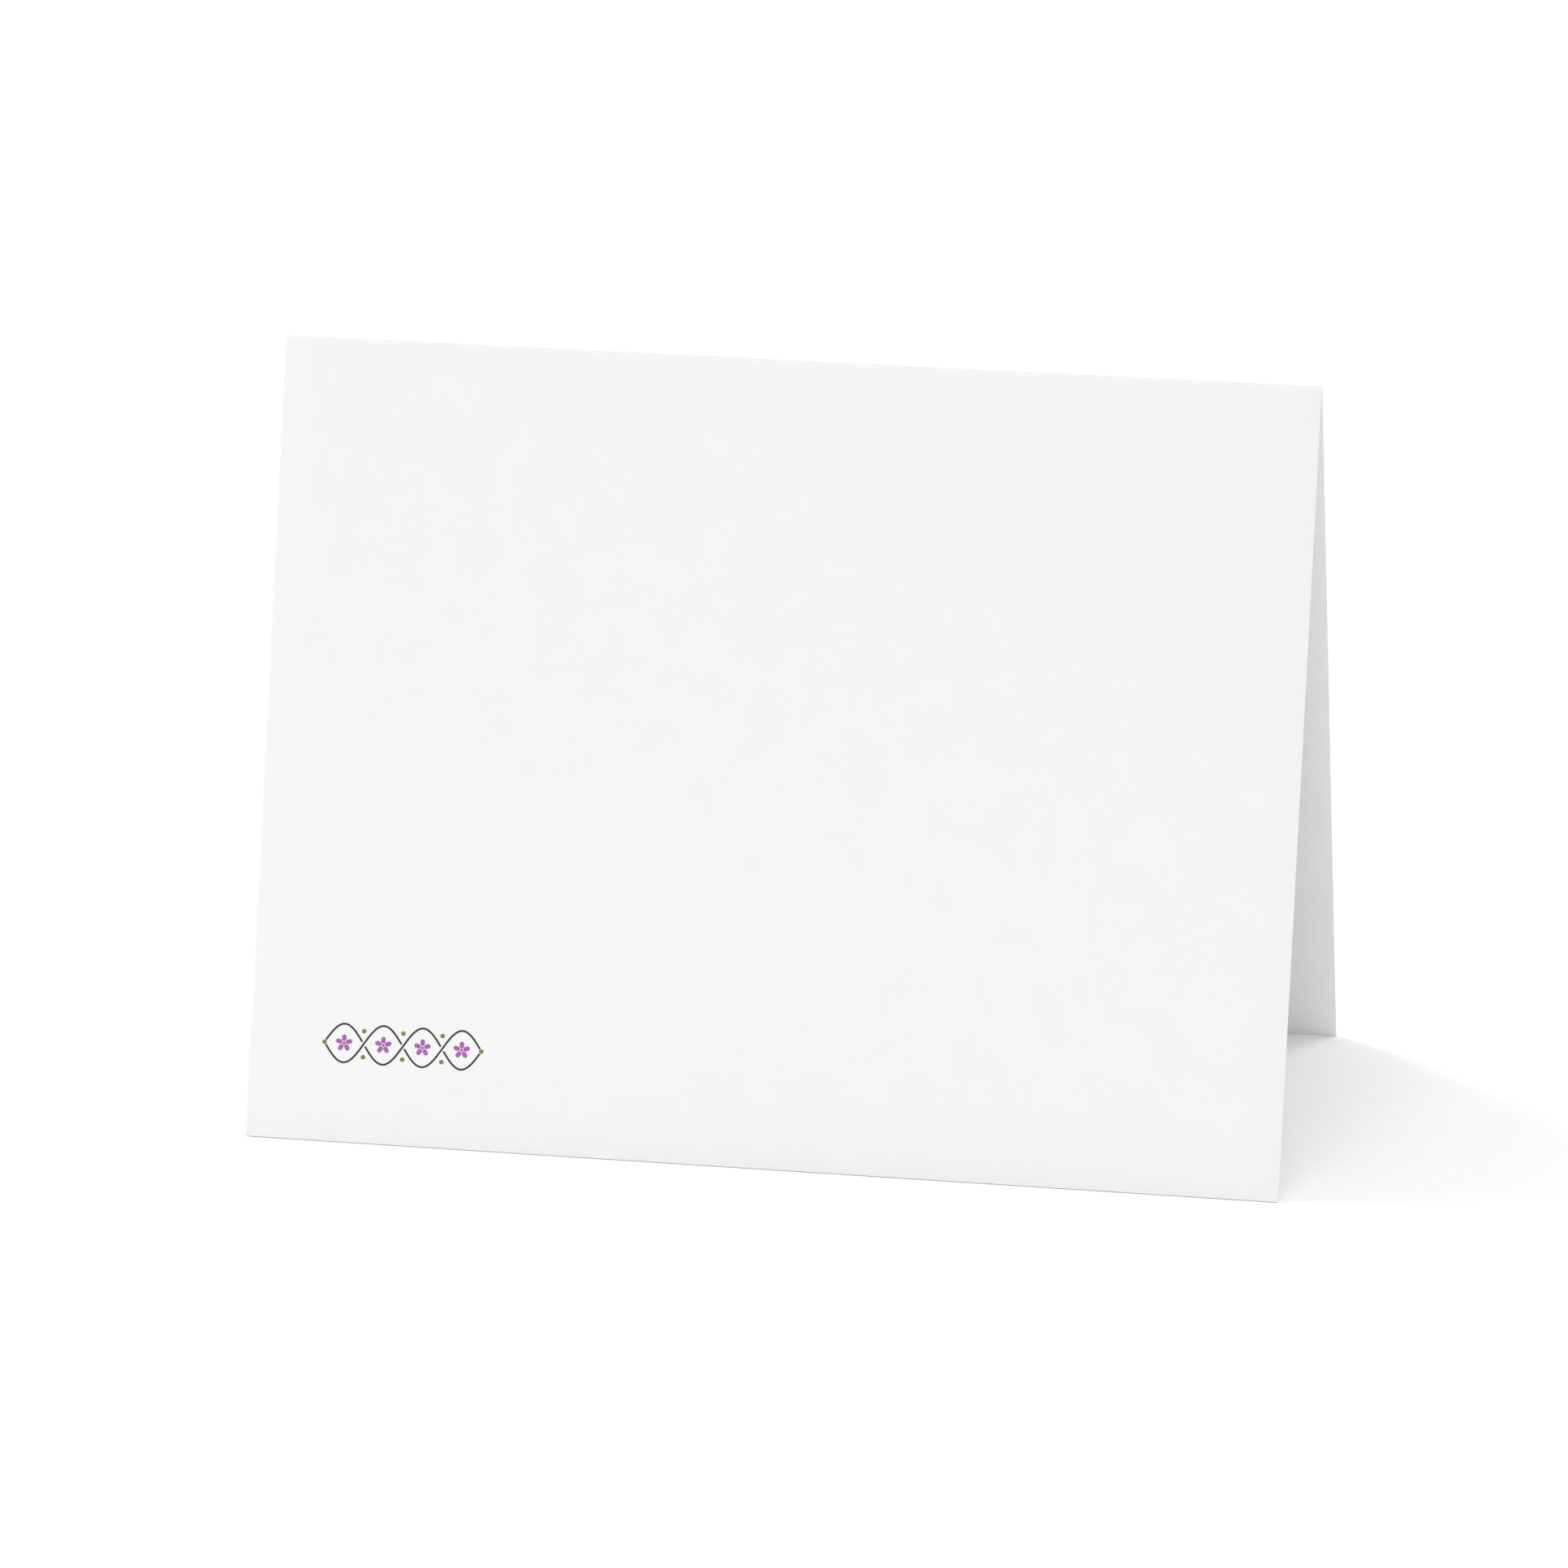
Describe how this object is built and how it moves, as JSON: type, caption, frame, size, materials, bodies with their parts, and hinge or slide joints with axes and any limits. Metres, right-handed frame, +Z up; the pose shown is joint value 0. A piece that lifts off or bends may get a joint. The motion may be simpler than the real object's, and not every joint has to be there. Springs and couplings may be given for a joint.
{
  "type": "greeting card",
  "caption": "Greeting card folded once from a single sheet of white card stock, standing open like a tent on its two cut foot edges.",
  "frame": {"origin": "middle of the footprint, on the surface that the card stands on", "axes": "+X along the fold, -Y towards the near leaf (the back of the card), +Z up"},
  "size_m": [0.1396, 0.0646, 0.1031],
  "materials": {
    "card_stock": "matte",
    "grey_ink": "matte",
    "violet_ink": "matte",
    "green_ink": "matte"
  },
  "bodies": {
    "root": {"folded_card": "card_stock"}
  },
  "joints": []
}
